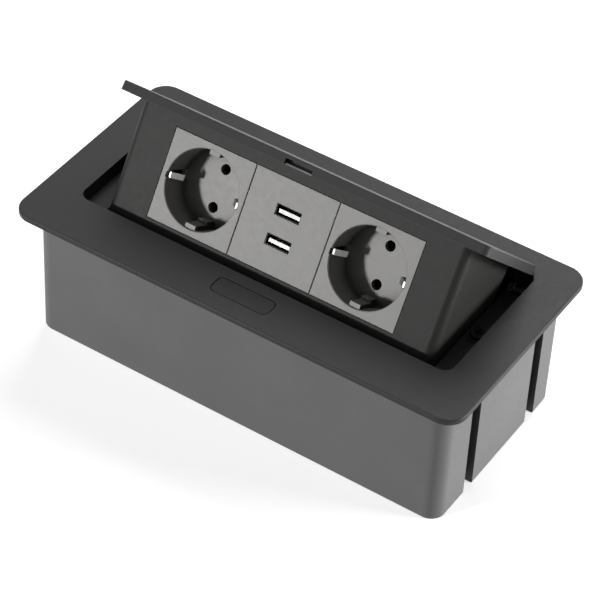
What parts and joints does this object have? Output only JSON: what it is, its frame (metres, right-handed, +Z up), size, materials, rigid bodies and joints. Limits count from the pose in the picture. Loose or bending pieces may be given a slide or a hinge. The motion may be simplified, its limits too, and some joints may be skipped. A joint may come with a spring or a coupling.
{
  "type": "pop up desk socket",
  "caption": "Pop up desk socket: a tabletop frame and box with a tilting carrier of earthed sockets and charging ports under a hinged lid.",
  "frame": {"origin": "centre of the underside of the box, on the plane that it stands on", "axes": "+X along the length, +Y from the button side to the hinge side, +Z up"},
  "size_m": [0.241, 0.12, 0.1239],
  "materials": {
    "frame_plastic": "fine matt black moulded plastic",
    "box_plastic": "plain matt dark grey moulded plastic",
    "module_plastic": "smooth anthracite moulded plastic",
    "inner_plastic": "plain moulded plastic",
    "white_plastic": "white moulded plastic",
    "steel": "bright zinc plated steel",
    "black_steel": "black coated steel",
    "contact_metal": "bright nickel plated spring metal",
    "brass": "bare brass or copper alloy",
    "board": "green lacquered circuit board",
    "capacitor": "sleeved aluminium cans",
    "rubber": "matt black rubber"
  },
  "bodies": {
    "base": {"top_frame": "frame_plastic", "housing_box": "box_plastic", "frame_screws": "black_steel", "hinge_pin": "steel", "hinge_pin_clip": "steel", "torsion_spring": "steel", "damper_barrel": "inner_plastic", "latch_bracket": "inner_plastic", "latch_bracket_screws": "steel", "button_springs": "steel", "latch_spring": "steel", "cable_grommet": "rubber", "cord_clamp": "box_plastic", "cord_clamp_screws": "steel"},
    "button": {"push_button": "frame_plastic"},
    "latch": {"latch_slider": "inner_plastic"},
    "carrier": {"lid_plate": "frame_plastic", "strike_plate": "steel", "strike_screws": "steel", "lid_screws": "steel", "carrier_shell": "frame_plastic", "carrier_back": "frame_plastic", "carrier_back_screws": "steel", "hinge_arm_left": "steel", "hinge_arm_right": "steel", "hinge_arm_screws": "steel", "damper_rotor": "inner_plastic", "damper_rotor_clip": "steel", "module_frame": "inner_plastic", "module_frame_screws": "steel", "socket_screws": "steel", "live_busbar": "brass", "neutral_busbar": "brass", "earth_busbar": "brass", "terminal_block": "inner_plastic", "terminal_screws": "steel", "usb_face": "module_plastic", "usb_case": "inner_plastic", "usb_board": "board", "usb_shell_upper": "steel", "usb_shell_lower": "steel", "usb_tongue_upper": "white_plastic", "usb_tongue_lower": "white_plastic", "usb_contacts": "brass", "usb_transformer_core": "steel", "usb_transformer_winding": "brass", "usb_capacitors": "capacitor", "socket_cover_left": "module_plastic", "socket_base_left": "inner_plastic", "earth_strap_left": "contact_metal", "pin_contacts_left": "brass", "socket_cover_right": "module_plastic", "socket_base_right": "inner_plastic", "earth_strap_right": "contact_metal", "pin_contacts_right": "brass"}
  },
  "joints": [
    {"name": "carrier_hinge", "type": "hinge", "parent": "base", "child": "carrier", "pos_m": [0, 0.0454, 0.0604], "axis": [1, 0, 0], "range_deg": [0, 43.65], "stiffness_Nm_per_rad": 0.5, "springref_deg": -51.57, "deforming": ["torsion_spring"]},
    {"name": "button_press", "type": "slide", "parent": "base", "child": "button", "axis": [0, 0, -1], "range_m": [0, 0.0022], "stiffness_N_per_m": 400, "springref_m": -0.003, "deforming": ["button_springs"]},
    {"name": "latch_slide", "type": "slide", "parent": "base", "child": "latch", "axis": [0, -1, 0], "range_m": [0, 0.0022], "stiffness_N_per_m": 200, "springref_m": -0.002, "deforming": ["latch_spring"]}
  ],
  "couplings": [
    {"joint": "latch_slide", "follows": "button_press", "ratio": 1}
  ]
}
